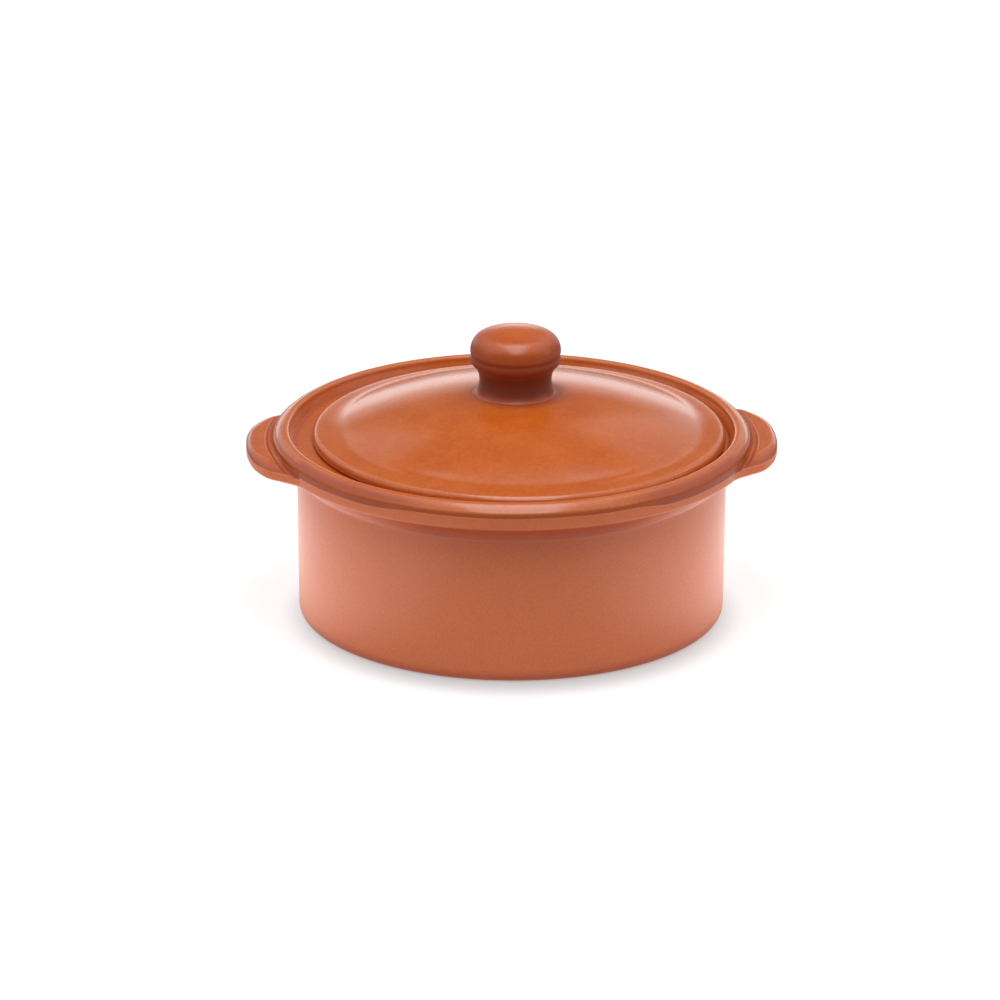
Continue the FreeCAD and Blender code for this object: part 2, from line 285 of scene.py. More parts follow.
@dataclass(frozen=True)
class GlazedEarthenware:
    """Red earthenware, jiggered and fired, partly under a clear honey lead-free glaze.

    The bare clay is matt and slightly grainy. The glaze is glossy and lets the clay show
    through: thin and pinkish over edges, brown and duller where it has run together. The
    piece's attribute glaze_mm is the distance inside the glazed side of the glaze's edge. A
    second attribute is how much glaze has run together there, with painted shade added on the
    rim's outer slope and the knob's waist and sides: below zero where it has run thin, brown at 1
    and deep brown at 2. The attribute dark is painted shade on the bare clay, from 0 to 1.
    """

    name: str
    clay: str = "#D56C38"
    clay_dark: str = "#D06834"
    clay_painted_shade: str = "#AC4212"
    glaze: str = "#BE5D20"
    glaze_pale: str = "#C26834"
    glaze_warm: str = "#B55318"
    # The two browns also carry painted shade on the rim's outer slope and the knob's waist and sides
    glaze_brown: str = "#A2400F"
    glaze_deep_and_shade: str = "#641F0C"
    ior: float = 1.55
    clay_roughness: float = 0.38
    glaze_roughness: float = 0.18
    pooled_roughness: float = 0.4
    # Each noise: its size in millimetres, its octaves, and how strong each is to the one before
    # Fireclay grain, drawn about twice as coarse as it is so that it shows
    grain: tuple[float, float, float] = (0.9, 2.0, 0.6)
    # Turning lines, drawn out round the pot and fine up its height
    rings: tuple[float, float, float] = (1.6, 2.0, 0.5)
    ring_stretch: float = 0.02
    # Cloudy mottle, and freckles on top of it
    mottle: tuple[float, float, float] = (17.0, 3.0, 0.55)
    freckle: tuple[float, float, float] = (2.4, 3.0, 0.65)
    # The part of the clouds' range over which the glaze turns warm
    warm_from: float = 0.8
    warm_to: float = 1.2
    # The part of the grain's range that shows, and how far it darkens and lightens the colour
    speck_from: float = 0.35
    speck_to: float = 0.65
    speck_dark: float = 0.93
    speck_light: float = 1.06
    # The glaze's edge: how far it wanders with the mottle, how it fades in, and its brown roll
    wander_from: float = 0.3
    wander_to: float = 0.7
    edge_wander_mm: float = 0.15
    edge_out_mm: float = -0.15
    edge_in_mm: float = 0.2
    roll_start_mm: float = 0.3
    pooled_edge_mm: float = 2.4
    edge_brown: float = 0.95
    # Grain and turning lines: how high they stand, and how much of it shows on clay and on glaze
    relief_mm: float = 0.25
    clay_relief: float = 0.1
    glaze_relief: float = 0.03

    def material(self) -> bpy.types.Material:
        """The finish as a node material on Object coordinates and the piece's attributes.

        Returns:
            The material.
        """
        made = bpy.data.materials.new(self.name)
        made.use_nodes = True
        tree = made.node_tree
        tree.nodes.clear()
        place = add(tree, "ShaderNodeTexCoord").outputs["Object"]
        drawn = add(tree, "ShaderNodeMapping", {
            "Vector": place, "Scale": (self.ring_stretch, self.ring_stretch, 1.0),
        }).outputs["Vector"]
        grain, mottle, freckle, rings = (
            add(tree, "ShaderNodeTexNoise", {
                "Vector": at, "Scale": 1.0 / (size * MM), "Detail": octaves, "Roughness": strength,
            }).outputs["Fac"]
            for at, (size, octaves, strength) in (
                (place, self.grain), (place, self.mottle), (place, self.freckle), (drawn, self.rings))
        )
        # The glaze's edge wanders about the line that the attribute gives
        inside = add(tree, "ShaderNodeAttribute", attribute_name="glaze_mm").outputs["Fac"]
        wander = add(tree, "ShaderNodeMapRange", {
            "Value": mottle, "From Min": self.wander_from, "From Max": self.wander_to,
            "To Min": -self.edge_wander_mm, "To Max": self.edge_wander_mm,
        }).outputs["Result"]
        depth = add(tree, "ShaderNodeMath", {0: inside, 1: wander}, operation="ADD").outputs[0]
        glazed = add(tree, "ShaderNodeMapRange", {
            "Value": depth, "From Min": self.edge_out_mm, "From Max": self.edge_in_mm,
        }, interpolation_type="SMOOTHSTEP").outputs["Result"]
        rolled = add(tree, "ShaderNodeMapRange", {
            "Value": depth, "From Min": self.roll_start_mm, "From Max": self.pooled_edge_mm,
            "To Min": self.edge_brown, "To Max": 0.0,
        }, interpolation_type="SMOOTHSTEP").outputs["Result"]
        # Where the glaze is brown, thin and deep brown, from how much of it has run together and from
        # painted shade
        pool_and_shade = add(tree, "ShaderNodeAttribute", attribute_name="pool_and_shade").outputs["Fac"]
        brown, thin, deep = (
            add(tree, "ShaderNodeMath", {0: one, 1: two}, operation=kind, use_clamp=True).outputs[0]
            for one, two, kind in (
                (rolled, pool_and_shade, "MAXIMUM"), (pool_and_shade, -1.0, "MULTIPLY"), (pool_and_shade, 1.0, "SUBTRACT"))
        )
        # Painted shade on the bare clay, from the attribute dark
        painted_shade = add(tree, "ShaderNodeAttribute", attribute_name="dark").outputs["Fac"]
        cloud = add(tree, "ShaderNodeMath", {0: freckle, 1: mottle}, operation="ADD").outputs[0]
        warm = add(tree, "ShaderNodeMapRange", {
            "Value": cloud, "From Min": self.warm_from, "From Max": self.warm_to,
        }).outputs["Result"]
        # Each coat starts from one colour, and each further colour lies over it by its share
        coats = []
        for first, over in (
            (self.clay, ((mottle, self.clay_dark), (painted_shade, self.clay_painted_shade))),
            (self.glaze, ((warm, self.glaze_warm), (thin, self.glaze_pale),
                          (brown, self.glaze_brown), (deep, self.glaze_deep_and_shade))),
        ):
            coat = linear(first)
            for share, colour in over:
                coat = add(tree, "ShaderNodeMix", {0: share, 6: coat, 7: linear(colour)},
                           data_type="RGBA").outputs[2]
            coats.append(coat)
        colour = add(tree, "ShaderNodeMix", {0: glazed, 6: coats[0], 7: coats[1]},
                     data_type="RGBA").outputs[2]
        speck = add(tree, "ShaderNodeMapRange", {
            "Value": grain, "From Min": self.speck_from, "From Max": self.speck_to,
            "To Min": self.speck_dark, "To Max": self.speck_light,
        }).outputs["Result"]
        tinted = add(tree, "ShaderNodeVectorMath", {0: colour, "Scale": speck},
                     operation="SCALE").outputs["Vector"]
        gloss = add(tree, "ShaderNodeMapRange", {
            "Value": pool_and_shade, "To Min": self.glaze_roughness, "To Max": self.pooled_roughness,
        }).outputs["Result"]
        roughness = add(tree, "ShaderNodeMapRange", {
            "Value": glazed, "To Min": self.clay_roughness, "To Max": gloss,
        }).outputs["Result"]
        lines = add(tree, "ShaderNodeMath", {0: rings, 1: grain}, operation="ADD").outputs[0]
        calm = add(tree, "ShaderNodeMapRange", {
            "Value": glazed, "To Min": self.clay_relief, "To Max": self.glaze_relief,
        }).outputs["Result"]
        relief = add(tree, "ShaderNodeBump", {
            "Height": lines, "Strength": calm, "Distance": self.relief_mm * MM,
        }).outputs["Normal"]
        shader = add(tree, "ShaderNodeBsdfPrincipled", {
            "Base Color": tinted, "Roughness": roughness, "Normal": relief, "IOR": self.ior,
        }).outputs["BSDF"]
        add(tree, "ShaderNodeOutputMaterial", {"Surface": shader})
        return made


def make_mesh(name: str, points: np.ndarray, faces: np.ndarray, ends: list[list[int]],
              marks: dict[str, np.ndarray]) -> bpy.types.Object:
    """Put a grid of quads and the faces that close it into a new smooth-shaded object.

    Args:
        name: the piece's name.
        points: vertices in millimetres, one row each.
        faces: quads, one row of four vertex numbers each.
        ends: further faces of any size, as lists of vertex numbers.
        marks: attribute values by name, one per vertex.

    Returns:
        The object, at the origin.
    """
    mesh = bpy.data.meshes.new(name)
    mesh.from_pydata((points * MM).tolist(), [], faces.tolist() + ends)
    for mark, values in marks.items():
        attribute = mesh.attributes.new(mark, "FLOAT", "POINT")
        attribute.data.foreach_set("value", values.astype(np.float32))
    mesh.polygons.foreach_set("use_smooth", np.ones(len(mesh.polygons), dtype=bool))
    mesh.update()
    mesh.validate()
    made = bpy.data.objects.new(name, mesh)
    bpy.context.scene.collection.objects.link(made)
    return made


def grid_faces(rows: int, around: int) -> np.ndarray:
    """Quads of a grid that closes on itself across its columns, with the face on the right.

    Args:
        rows: number of rows.
        around: number of columns.

    Returns:
        Four vertex numbers to a quad, one row each.
    """
    down = np.arange(rows - 1)[:, None] * around
    here = np.arange(around)[None, :]
    beside = (here + 1) % around
    quads = np.stack([down + here, down + beside, down + around + beside, down + around + here], -1)
    return quads.reshape(-1, 4)


class ClayPiece:
    """A piece of fired clay that makes its own mesh."""

    def build(self) -> bpy.types.Object:
        """The piece's object, with its mesh in place."""
        raise NotImplementedError

    def dress(self, finish: GlazedEarthenware, body: str, node: str, slot: str) -> None:
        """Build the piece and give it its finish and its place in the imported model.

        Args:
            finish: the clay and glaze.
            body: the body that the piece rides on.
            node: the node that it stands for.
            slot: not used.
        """
        piece = self.build()
        piece.data.materials.append(finish.material())
        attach(piece, body)
        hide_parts(node)
        log.info("%s: %d vertices, on %s", piece.name, len(piece.data.vertices), body)


@dataclass
class TurnedPiece(ClayPiece):
    """A piece that is a section turned about an upright axis."""

    name: str
    centre_x: float
    base_z: float
    around: int = 288
    longest_step: float = 2.6
    sharpest_turn: float = 0.085
    softness: float = 0.4
    # Out of round by at most this, as an oval and a rounded triangle; true near the axis
    out_of_round: float = 0.12
    oval_share: float = 0.6
    oval_turn: float = 0.7
    triangle_share: float = 0.4
    triangle_turn: float = -0.4
    true_within: float = 20.0
    uneven_beyond: float = 60.0
    # Glaze runs off edges and into hollows, by how the section bends over this many fine steps
    pooling: float = 1.6
    most_pooled: float = 0.85
    bend_span: int = 15

    def section(self) -> list[Corner]:
        """The corners of the section, from one end of the axis to the other."""
        raise NotImplementedError

    def glaze_depth(self, height: np.ndarray, angle: np.ndarray, inside: np.ndarray) -> np.ndarray:
        """Distance inside the glaze's edge, in millimetres; a piece is glazed all over by default."""
        return np.full(np.broadcast(height, angle, inside).shape, WELL_GLAZED)

    def shaded(self, height: np.ndarray, angle: np.ndarray, inside: np.ndarray) -> np.ndarray:
        """Painted shade on the bare clay, from 0 to 1; it is even by default."""
        return np.zeros(np.broadcast(height, angle, inside).shape)

    def run_down_and_shade(self, height: np.ndarray, angle: np.ndarray, inside: np.ndarray) -> np.ndarray:
        """How much more glaze has run together, and painted shade, at a height and a side; none by default.
        """
        return np.zeros(np.broadcast(height, angle, inside).shape)

    def pooled_and_shaded(self, height: np.ndarray, bend: np.ndarray) -> np.ndarray:
        """How much glaze has run together: more in hollows, less than none over sharp edges."""
        return np.clip(-self.pooling * bend, THINNEST, self.most_pooled)

    def build(self) -> bpy.types.Object:
        """Turn the softened section.

        A point is the section's distance from the axis, less a little where the piece is out of
        round, turned about the axis: r cos a, r sin a and z. What is taken off follows half of
        1 plus a share of the cosine of twice the angle and a share of that of three times it.

        Returns:
            The piece's object.
        """
        fine = soften(even_out(trace_section(self.section())), self.softness)
        rows = choose_rows(fine, self.longest_step, self.sharpest_turn)
        number = np.arange(len(fine))
        radius = np.interp(rows, number, fine[:, 0])[1:-1, None]
        height = np.interp(rows, number, fine[:, 1])[1:-1, None]
        bend = np.convolve(turning(fine), np.ones(self.bend_span) / self.bend_span, mode="same")
        pool_and_shade = np.interp(rows, number, self.pooled_and_shaded(fine[:, 1], bend))[1:-1, None]
        angle = (np.arange(self.around) * TAU / self.around)[None, :]
        wave = 0.5 * (1.0 + self.oval_share * np.cos(2.0 * angle + self.oval_turn)
                      + self.triangle_share * np.cos(3.0 * angle + self.triangle_turn))
        reach = radius - self.out_of_round * wave * smooth(self.true_within, self.uneven_beyond, radius)
        grid = np.stack(np.broadcast_arrays(
            self.centre_x + reach * np.cos(angle),
            reach * np.sin(angle),
            self.base_z + height,
        ), -1)
        count = len(radius)
        points = np.vstack([
            grid.reshape(-1, 3),
            [[self.centre_x, 0.0, self.base_z + fine[0, 1]]],
            [[self.centre_x, 0.0, self.base_z + fine[-1, 1]]],
        ])
        # Triangles from the two poles close the first and the last row
        here = np.arange(self.around)
        beside = (here + 1) % self.around
        pole = np.full(self.around, count * self.around)
        last = (count - 1) * self.around
        fans = np.vstack([
            np.column_stack([pole, beside, here]),
            np.column_stack([pole + 1, last + here, last + beside]),
        ]).tolist()
        inside = (np.arange(count) > int(np.argmax(height)))[:, None]
        pool_and_shade = np.clip(pool_and_shade + self.run_down_and_shade(height, angle, inside), THINNEST, DEEPEST)
        depth, dark, pool_and_shade = (np.broadcast_to(values, grid.shape[:2]).ravel() for values in (
            self.glaze_depth(height, angle, inside), self.shaded(height, angle, inside), pool_and_shade))
        marks = {
            "glaze_mm": np.concatenate([depth, depth[:1], depth[-1:]]),
            "pool_and_shade": np.concatenate([pool_and_shade, [0.0, 0.0]]),
            "dark": np.concatenate([dark, [0.0, 0.0]]),
        }
        return make_mesh(self.name, points, grid_faces(count, self.around), fans, marks)


@dataclass
class PotBody(TurnedPiece):
    """The jiggered pot: floor, upright wall, cove, rolled rim, gallery and ledge."""

    rim_radius: float = 113.0
    crest_height: float = 90.8
    rim_overhang: float = 11.4
    wall_draft: float = 0.6
    foot_round: float = 3.5
    wall_thickness: float = 6.5
    floor_thickness: float = 7.0
    inner_round: float = 14.0
    # The crest: a broad, nearly flat slope outside, a brow down to the upright face, a lip inside
    crest_inset: float = 6.3
    crest_round: float = 4.7
    slope_inset: float = 4.4
    slope_drop: float = 0.4
    slope_bend: float = 11.7
    brow_inset: float = 0.5
    brow_drop: float = 3.25
    brow_round: float = 2.0
    face_drop: float = 4.6
    lip_inset: float = 8.0
    lip_drop: float = 2.2
    lip_round: float = 2.0
    rim_depth: float = 12.1
    rim_edge_round: float = 1.0
    cove_height: float = 8.2
    cove_bend: float = 16.0
    gallery_depth: float = 6.4
    gallery_inset: float = 10.4
    ledge_lip: float = 3.6
    mouth_round: float = 1.2
    ledge_thickness: float = 5.0
    ledge_run_out: float = 6.0
    # The glaze's edge: high at the front and back, sagging towards the lugs
    line_front: float = 85.1
    line_sag_right: float = 2.0
    line_sag_left: float = 1.4
    sag_start: float = math.radians(27.0)
    sag_end: float = math.radians(38.0)
    # Painted shade on the bare clay for the rim's shadow: full in the cove, up to the rim's face,
    # and fading down the wall
    painted_shade_below: float = 0.18
    painted_shade_fade: float = 14.0
    painted_shade_under_cove: float = 0.6
    painted_shade_into_cove: float = 0.2
    painted_shade_on_face: float = 0.2
    painted_shade_face_end: float = 1.2
    # The painted shade is weaker towards the lugs
    painted_shade_sides: float = 0.45
    painted_shade_sides_start: float = math.radians(20.0)
    painted_shade_sides_end: float = math.radians(50.0)
    # Painted contact shade: a darker line along the foot, where the pot stands on the floor
    foot_painted_shade: float = 0.8
    foot_painted_shade_from: float = 1.5
    foot_painted_shade_to: float = 6.0
    # Browner glaze on the rim's outer slope, away from the front and the back, darkened further as
    # painted shade where the slope reflects little light
    rim_brown_and_shade: float = 1.15
    rim_brown_and_shade_start: float = math.radians(16.0)
    rim_brown_and_shade_end: float = math.radians(36.0)
    rim_brown_and_shade_depth: float = 1.6

    def section(self) -> list[Corner]:
        """The pot's section.

        Returns:
            Its corners, from the middle of the base, up the outside and down to the middle of
            the floor.
        """
        shoulder = self.rim_radius - self.rim_overhang
        foot = shoulder - self.wall_draft
        rim, top = self.rim_radius, self.crest_height
        inside = shoulder - self.wall_thickness
        mouth = inside - self.ledge_lip
        under, ledge = top - self.rim_depth, top - self.gallery_depth
        below = ledge - self.ledge_thickness
        floor = self.floor_thickness
        return [
            Corner(0.0, 0.0),
            Corner(foot - self.foot_round, 0.0),
            Corner(foot, self.foot_round, self.foot_round, 1),
            Corner(shoulder, under - self.cove_height),
            Corner(rim - self.rim_edge_round, under, self.cove_bend, -1),
            Corner(rim, under + self.rim_edge_round, self.rim_edge_round, 1),
            Corner(rim, top - self.face_drop),
            Corner(rim - self.brow_inset, top - self.brow_drop, self.brow_round, 1),
            Corner(rim - self.slope_inset, top - self.slope_drop, self.slope_bend, 1),
            Corner(rim - self.crest_inset, top, self.crest_round, 1),
            Corner(rim - self.lip_inset, top - self.lip_drop, self.lip_round, 1),
            Corner(rim - self.gallery_inset, ledge),
            Corner(mouth + self.mouth_round, ledge),
            Corner(mouth, ledge - self.mouth_round, self.mouth_round, 1),
            Corner(mouth, below),
            Corner(inside, below - self.ledge_run_out),
            Corner(inside, floor + self.inner_round),
            Corner(inside - self.inner_round, floor, self.inner_round, -1),
            Corner(0.0, floor),
        ]

    @staticmethod
    def off_front(angle: np.ndarray) -> np.ndarray:
        """Angle from the front or the back, whichever is nearer."""
        return np.abs(np.arcsin(np.clip(np.cos(angle), -1.0, 1.0)))

    def glaze_depth(self, height: np.ndarray, angle: np.ndarray, inside: np.ndarray) -> np.ndarray:
        """Glazed inside, and outside above a line that sags towards the lugs.

        Args:
            height: height above the base, in millimetres.
            angle: turn about the axis from +X, in radians.
            inside: whether the row is past the crest, on the inside.

        Returns:
            Distance above the line, in millimetres.
        """
        sag = np.where(np.cos(angle) > 0.0, self.line_sag_right, self.line_sag_left)
        line = self.line_front - sag * smooth(self.sag_start, self.sag_end, self.off_front(angle))
        return np.where(inside, WELL_GLAZED, height - line)

    def run_down_and_shade(self, height: np.ndarray, angle: np.ndarray, inside: np.ndarray) -> np.ndarray:
        """Thicker, browner glaze on the rim's outer slope towards the lugs, darkened further as painted
        shade.

        Args:
            height: height above the base, in millimetres.
            angle: turn about the axis from +X, in radians.
            inside: whether the row is past the crest, on the inside.

        Returns:
            How much more glaze has run together, with the painted shade.
        """
        share = smooth(self.rim_brown_and_shade_start, self.rim_brown_and_shade_end, self.off_front(angle))
        low = smooth(0.0, self.rim_brown_and_shade_depth, self.crest_height - height)
        return np.where(inside, 0.0, self.rim_brown_and_shade * share * low)

    def shaded(self, height: np.ndarray, angle: np.ndarray, inside: np.ndarray) -> np.ndarray:
        """Painted shade on the bare clay in the cove under the rim, fading down the wall and to the sides,
        and painted contact shade at the foot.

        Args:
            height: height above the base, in millimetres.
            angle: turn about the axis from +X, in radians.
            inside: whether the row is past the crest, on the inside.

        Returns:
            How much painted shade darkens the clay, from 0 to 1.
        """
        under = self.crest_height - self.rim_depth
        corner = under - self.cove_height
        # Painted shade in the cove and just below the rim, where the rim's shadow falls
        faded = self.painted_shade_below * smooth(corner - self.painted_shade_fade, corner, height)
        cove = smooth(corner - self.painted_shade_under_cove, corner + self.painted_shade_into_cove, height)
        face = smooth(under + self.painted_shade_on_face, under + self.painted_shade_face_end, height)
        band = (faded + (1.0 - self.painted_shade_below) * cove) * (1.0 - face)
        sides = smooth(self.painted_shade_sides_start, self.painted_shade_sides_end, self.off_front(angle))
        # Painted contact shade along the foot
        foot = 1.0 - smooth(self.foot_painted_shade_from, self.foot_painted_shade_to, height)
        painted_shade = band * (1.0 - (1.0 - self.painted_shade_sides) * sides) + self.foot_painted_shade * foot
        return np.where(inside, 0.0, painted_shade)


@dataclass
class LugHandle(ClayPiece):
    """A tongue of clay luted to the rim, with a finger-pressed trough and broad flanks."""

    side: Side
    rim_radius: float
    crest_height: float
    reach: float
    underside: float
    top: float
    crest_inset: float = 6.7
    crest_bend: float = 7.0
    # Half of the outline from above: degrees from the middle, and radius as a share of the reach
    plan_degrees: tuple[float, ...] = (0.0, 7.0, 13.5, 17.8, 20.3, 24.0, 27.5, 30.0)
    plan_share: tuple[float, ...] = (1.0, 0.985, 0.89, 0.69, 0.42, 0.09, -0.05, -0.12)
    plan_margin: float = 0.5
    # The finger's press: a trough along the rim, a little deeper where it opens to the flanks
    valley_radius: float = 114.4
    valley_depth: float = 2.0
    valley_open: float = 2.2
    valley_open_end: float = math.radians(18.0)
    valley_wall: float = 2.9
    valley_edge: float = 0.6
    # The plateau outside the trough droops towards the front root
    plateau_drop: float = 0.1
    droop_front: float = 1.1
    droop_back: float = 0.0
    droop_start: float = math.radians(12.0)
    droop_end: float = math.radians(21.0)
    # The flanks: their width by degrees from the middle, round at the tip and ramped at the sides
    edge_height: float = 3.9
    flank_degrees: tuple[float, ...] = (0.0, 8.0, 14.0, 18.0, 22.0)
    flank_width: tuple[float, ...] = (4.0, 4.5, 6.5, 9.0, 10.5)
    ramp_power: float = 1.6
    ramp_start: float = math.radians(6.0)
    ramp_end: float = math.radians(15.0)
    bottom_round: float = 1.2
    # The top flows into the crest over this reach, with its own height counted a little less
    root_fillet: float = 2.4
    fillet_lean: float = 0.9
    # The skin lies just under the rim's own surface, and deeper at its ends
    skin_under: float = 0.06
    skin_end_under: float = 0.6
    skin_end_start: float = math.radians(23.0)
    skin_end_full: float = math.radians(29.0)
    inner_depth: float = 4.5
    # The glaze's edge on the lug, and the glaze that has run together in its trough and at its roots
    glaze_above: float = 0.25
    top_glaze: float = 1.0
    pool_share: float = 1.15
    pool_start: float = 0.4
    pool_full: float = 2.4
    pool_inward: float = 3.5
    root_brown: float = 0.85
    root_brown_depth: float = 1.6
    root_brown_width: float = math.radians(8.0)
    # The grid: rows are finer over this last part of the top, where it turns down to the edge
    columns: int = 161
    top_rows: int = 56
    turn_rows: int = 20
    turn_width: float = 3.8
    least_turn: float = 0.2
    least_top: float = 1.0
    face_rows: int = 9
    bottom_rows: int = 8
    under_rows: int = 6
    inner_rows: int = 5
    outline_points: int = 600
    halvings: int = 34
    search_margin: float = 1.0

    @property
    def name(self) -> str:
        """The node that this piece stands for."""
        return "right_handle" if self.side is Side.RIGHT else "left_handle"

    @property
    def limit(self) -> float:
        """How far the skin runs to each side of the middle, in radians."""
        return math.radians(self.plan_degrees[-1] - self.plan_margin)

    def outline(self, angle: np.ndarray) -> np.ndarray:
        """Radius of the lug's edge from above, on a curve through the plan's few points.

        Between two points it is a cubic whose slope at each is the mean of the slopes on both
        sides, or level at the middle of the lug.

        Args:
            angle: turn from the lug's middle, in radians.

        Returns:
            The edge's distance from the pot's axis, in millimetres.
        """
        at = np.radians(self.plan_degrees)
        out = self.rim_radius + (self.reach - self.rim_radius) * np.array(self.plan_share)
        slope = np.gradient(out, at)
        slope[0] = 0.0
        x = np.clip(np.abs(angle), at[0], at[-1])
        k = np.clip(np.searchsorted(at, x, side="right") - 1, 0, len(at) - 2)
        width = at[k + 1] - at[k]
        t = (x - at[k]) / width
        return (out[k] * (1 + 2 * t) * (1 - t) ** 2 + slope[k] * width * t * (1 - t) ** 2
                + out[k + 1] * t * t * (3 - 2 * t) + slope[k + 1] * width * t * t * (t - 1))

    def from_edge(self, radius: np.ndarray, angle: np.ndarray) -> np.ndarray:
        """Shortest distance from points of the lug to its edge from above.

        Args:
            radius: distance from the pot's axis, in millimetres.
            angle: turn from the lug's middle, in radians.

        Returns:
            The distances, in millimetres.
        """
        end = math.radians(self.plan_degrees[-1])
        turn = np.linspace(-end, end, self.outline_points)
        edge = self.outline(turn)
        dx = (radius * np.cos(angle))[..., None] - edge * np.cos(turn)
        dy = (radius * np.sin(angle))[..., None] - edge * np.sin(turn)
        return np.sqrt((dx * dx + dy * dy).min(-1))

    def tongue(self, radius: np.ndarray, angle: np.ndarray) -> np.ndarray:
        """Height of the lug's top without the crest: a plateau, the trough and the flanks.

        The plateau droops towards the roots, most at the front. The flank is a quarter round at
        the tip and a ramp at the sides: 1 less the power of the share left to the plateau.

        Args:
            radius: distance from the pot's axis, in millimetres.
            angle: turn from the lug's middle, in radians.

        Returns:
            The heights, in millimetres.
        """
        off = np.abs(angle)
        forward = angle if self.side is Side.LEFT else -angle
        droop = np.where(forward > 0.0, self.droop_front, self.droop_back)
        plateau = self.top - self.plateau_drop - droop * smooth(self.droop_start, self.droop_end, off)
        opened = smooth(0.0, self.valley_open_end, off)
        depth = self.valley_depth + (self.valley_open - self.valley_depth) * opened
        wall = smooth(self.valley_radius, self.valley_radius + self.valley_wall, radius)
        valley = plateau - depth * (1.0 - wall)
        flank = np.interp(off, np.radians(self.flank_degrees), self.flank_width)
        left = 1.0 - np.clip(self.from_edge(radius, angle) / flank, 0.0, 1.0)
        edge = self.underside + self.edge_height
        at_side = smooth(self.ramp_start, self.ramp_end, off)
        rise = (plateau - edge) * ((1.0 - at_side) * np.sqrt(1.0 - left ** 2)
                                   + at_side * (1.0 - left ** self.ramp_power))
        return soft_min(valley, edge + rise, self.valley_edge)

    def surface(self, radius: np.ndarray, angle: np.ndarray) -> np.ndarray:
        """Height of the top where the lug flows into the crest.

        It is the level where the rounded lesser of two distances is nil: the one to the crest's
        round, and the one to the tongue. It is found by halving the range between them.

        Args:
            radius: distance from the pot's axis, in millimetres.
            angle: turn from the lug's middle, in radians.

        Returns:
            The heights, in millimetres.
        """
        centre_z = self.crest_height - self.crest_bend
        centre_r = self.rim_radius - self.crest_inset
        flat = self.tongue(radius, angle)
        low = np.full(radius.shape, self.underside + self.search_margin)
        high = np.full(radius.shape, self.crest_height + self.search_margin)
        ends = smooth(self.skin_end_start, self.skin_end_full, np.abs(angle))
        under = self.skin_under + self.skin_end_under * ends
        for _ in range(self.halvings):
            middle = (low + high) / 2.0
            over = np.maximum(middle - centre_z, 0.0)
            crest = np.hypot(radius - centre_r, over) - self.crest_bend + under
            inside = soft_min(crest, (middle - flat) * self.fillet_lean, self.root_fillet) < 0.0
            low = np.where(inside, middle, low)
            high = np.where(inside, high, middle)
        return (low + high) / 2.0

    def skin(self, angle: np.ndarray) -> tuple[np.ndarray, np.ndarray]:
        """The skin's rows: over the top, down the edge, under and back up inside the rim.

        The top runs straight out and then by the sine of an even turn, so its rows close up
        towards the edge. The bottom round is a quarter circle.

        Args:
            angle: the columns' turn from the lug's middle, in radians.

        Returns:
            Distance from the pot's axis and height, one row of each to a row of the skin.
        """
        edge = self.outline(angle)
        inner = self.rim_radius - self.inner_depth
        fine = np.minimum(self.turn_width, np.maximum(edge - inner - self.least_top, self.least_turn))
        t = np.linspace(0.0, 1.0, self.top_rows)[:, None]
        s = np.linspace(0.0, QUARTER, self.turn_rows)[1:, None]
        top_r = np.vstack([inner + t * (edge - fine - inner), edge - fine * (1.0 - np.sin(s))])
        top_z = self.surface(top_r, np.broadcast_to(angle, top_r.shape))
        low, turned = self.underside, self.bottom_round
        face = np.linspace(0.0, 1.0, self.face_rows)[1:, None]
        face_z = top_z[-1] + face * (low + turned - top_z[-1])
        q = np.linspace(0.0, QUARTER, self.bottom_rows)[1:, None]
        back = np.linspace(0.0, 1.0, self.under_rows)[1:, None]
        back_r = (edge - turned) + back * (inner - edge + turned)
        up_z = low + np.linspace(0.0, 1.0, self.inner_rows)[1:-1, None] * (top_z[0] - low)
        radius = np.vstack([
            top_r,
            np.broadcast_to(edge, face_z.shape),
            edge - turned * (1.0 - np.cos(q)),
            back_r,
            np.full(up_z.shape, inner),
        ])
        height = np.vstack([
            top_z,
            face_z,
            np.broadcast_to(low + turned * (1.0 - np.sin(q)), (len(q), len(angle))),
            np.full(back_r.shape, low),
            up_z,
        ])
        return radius, height

    def marks(self, radius: np.ndarray, height: np.ndarray, angle: np.ndarray) -> dict[str, np.ndarray]:
        """Where the skin is glazed, and where its glaze has run together.

        Glaze stands in the trough and thickens down the flanks. At the roots it is the rim's.

        Args:
            radius: the skin's distances from the pot's axis, in millimetres.
            height: its heights.
            angle: the columns' turn from the lug's middle, in radians.

        Returns:
            The finish's attributes by name, one value per vertex.
        """
        depth = height - (self.underside + self.edge_height + self.glaze_above)
        depth[:self.top_rows] = np.maximum(depth[:self.top_rows], self.top_glaze)
        sunk = np.clip((self.top - self.pool_start - height) / self.pool_full, 0.0, 1.0)
        sunk = np.where(radius > self.valley_radius - self.pool_inward, self.pool_share * sunk, 0.0)
        rim = smooth(0.0, self.root_brown_depth, self.crest_height - height)
        root = smooth(self.limit - self.root_brown_width, self.limit, np.abs(angle))
        pool_and_shade = np.maximum(sunk, self.root_brown * rim * root)
        return {"glaze_mm": depth.T.ravel(), "pool_and_shade": pool_and_shade.T.ravel(), "dark": np.zeros(pool_and_shade.size)}

    def build(self) -> bpy.types.Object:
        """Wrap the skin round the lug, and close it at its two ends.

        Returns:
            The lug's object.
        """
        angle = np.linspace(-self.limit, self.limit, self.columns)
        radius, height = self.skin(angle)
        rows = len(radius)
        turn = angle[None, :] + self.side.value
        grid = np.stack([radius * np.cos(turn), radius * np.sin(turn), height], -1)
        points = grid.transpose(1, 0, 2).reshape(-1, 3)
        last = (self.columns - 1) * rows
        ends = [list(range(rows)), list(range(last + rows - 1, last - 1, -1))]
        return make_mesh(self.name + "_pressed", points, grid_faces(self.columns, rows), ends,
                         self.marks(radius, height, angle))


